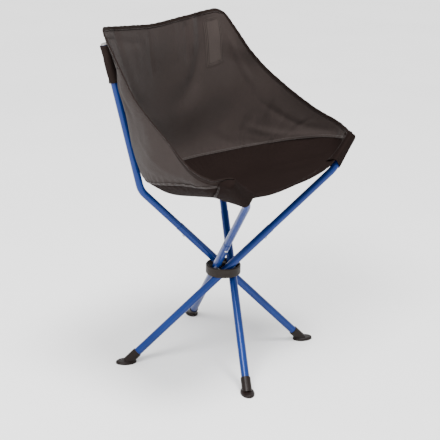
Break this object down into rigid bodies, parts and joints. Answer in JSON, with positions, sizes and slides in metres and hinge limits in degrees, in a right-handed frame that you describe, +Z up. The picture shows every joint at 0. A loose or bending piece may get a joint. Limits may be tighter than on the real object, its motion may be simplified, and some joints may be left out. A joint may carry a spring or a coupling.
{
  "type": "folding camp sling chair",
  "caption": "Folding camp chair: crossing blue poles pinned in a hub ring carry a bucket-shaped cloth sling with a back.",
  "frame": {"origin": "on the floor under the middle of the bounding box; the hub axis stands 10.55 mm in front of it (towards -Y)", "axes": "+Z up; the sitter faces -Y; +X is the sitter's left"},
  "size_m": [0.5578, 0.4158, 0.7926],
  "materials": {
    "blue_tube": "satin blue coat on aluminium tube",
    "grey_cloth": "coated woven polyester, fine basket weave",
    "dark_cloth": "coated woven polyester, fine basket weave",
    "dark_tape": "woven edge tape",
    "hub_plastic": "moulded, lightly grained",
    "foot_rubber": "smooth moulded rubber",
    "cap_plastic": "moulded end plug",
    "pin_steel": "plain steel",
    "spring_steel": "spring steel strip",
    "button_metal": "polished button"
  },
  "bodies": {
    "hub": {"seat_panel": "dark_cloth", "back_panel": "grey_cloth", "edge_tape_right": "dark_tape", "edge_tape_left": "dark_tape", "top_tape": "dark_tape", "front_hem": "dark_cloth", "back_patch_right": "grey_cloth", "back_patch_left": "grey_cloth", "hub_ring": "hub_plastic", "hub_core": "hub_plastic", "pivot_pins": "pin_steel", "pivot_spacers": "hub_plastic"},
    "pole_rear_right": {"leg_tube_rr": "blue_tube", "upper_tube_rr": "blue_tube", "end_cap_rr": "cap_plastic", "pole_sleeve_rr": "dark_tape", "snap_spring_rr": "spring_steel", "boot_rr": "foot_rubber"},
    "button_rr": {"snap_button_rr": "button_metal"},
    "pole_rear_left": {"leg_tube_rl": "blue_tube", "upper_tube_rl": "blue_tube", "end_cap_rl": "cap_plastic", "pole_sleeve_rl": "dark_tape", "snap_spring_rl": "spring_steel", "boot_rl": "foot_rubber"},
    "button_rl": {"snap_button_rl": "button_metal"},
    "pole_front_right": {"leg_tube_fr": "blue_tube", "upper_tube_fr": "blue_tube", "end_cap_fr": "cap_plastic", "pole_pocket_fr": "dark_tape", "snap_spring_fr": "spring_steel", "boot_fr": "foot_rubber"},
    "button_fr": {"snap_button_fr": "button_metal"},
    "pole_front_left": {"leg_tube_fl": "blue_tube", "upper_tube_fl": "blue_tube", "end_cap_fl": "cap_plastic", "pole_pocket_fl": "dark_tape", "snap_spring_fl": "spring_steel", "boot_fl": "foot_rubber"},
    "button_fl": {"snap_button_fl": "button_metal"}
  },
  "joints": [
    {"name": "fold_rr", "type": "hinge", "parent": "hub", "child": "pole_rear_right", "pos_m": [0.01231, 0.00521, 0.2225], "axis": [0.6157, 0.788, 0], "range_deg": [0, 23], "deforming": ["seat_panel", "back_panel", "edge_tape_right", "edge_tape_left", "top_tape", "front_hem", "back_patch_right", "back_patch_left"]},
    {"name": "press_button_rr", "type": "slide", "parent": "pole_rear_right", "child": "button_rr", "axis": [-0.5603, 0.4378, -0.7031], "range_m": [-0.0032, 0], "stiffness_N_per_m": 600, "springref_m": 0.0012, "deforming": ["snap_spring_rr"]},
    {"name": "fold_rl", "type": "hinge", "parent": "hub", "child": "pole_rear_left", "pos_m": [0.01439, -0.02444, 0.2225], "axis": [0.7193, -0.6947, 0], "range_deg": [0, 23]},
    {"name": "press_button_rl", "type": "slide", "parent": "pole_rear_left", "child": "button_rl", "axis": [0.494, 0.5115, -0.7031], "range_m": [-0.0032, 0], "stiffness_N_per_m": 600, "springref_m": 0.0012, "deforming": ["snap_spring_rl"]},
    {"name": "fold_fr", "type": "hinge", "parent": "hub", "child": "pole_front_right", "pos_m": [-0.01532, 0.00231, 0.2225], "axis": [-0.766, 0.6428, 0], "range_deg": [0, 24.15]},
    {"name": "press_button_fr", "type": "slide", "parent": "pole_front_right", "child": "button_fr", "axis": [-0.44, -0.5243, -0.7291], "range_m": [-0.0032, 0], "stiffness_N_per_m": 600, "springref_m": 0.0012, "deforming": ["snap_spring_fr"]},
    {"name": "fold_fl", "type": "hinge", "parent": "hub", "child": "pole_front_left", "pos_m": [-0.01338, -0.02541, 0.2225], "axis": [-0.6691, -0.7431, 0], "range_deg": [0, 24.15]},
    {"name": "press_button_fl", "type": "slide", "parent": "pole_front_left", "child": "button_fl", "axis": [0.5086, -0.458, -0.7291], "range_m": [-0.0032, 0], "stiffness_N_per_m": 600, "springref_m": 0.0012, "deforming": ["snap_spring_fl"]}
  ],
  "couplings": [
    {"joint": "fold_rl", "follows": "fold_rr", "ratio": 1},
    {"joint": "fold_fr", "follows": "fold_rr", "ratio": 1.047},
    {"joint": "fold_fl", "follows": "fold_rr", "ratio": 1.047}
  ]
}
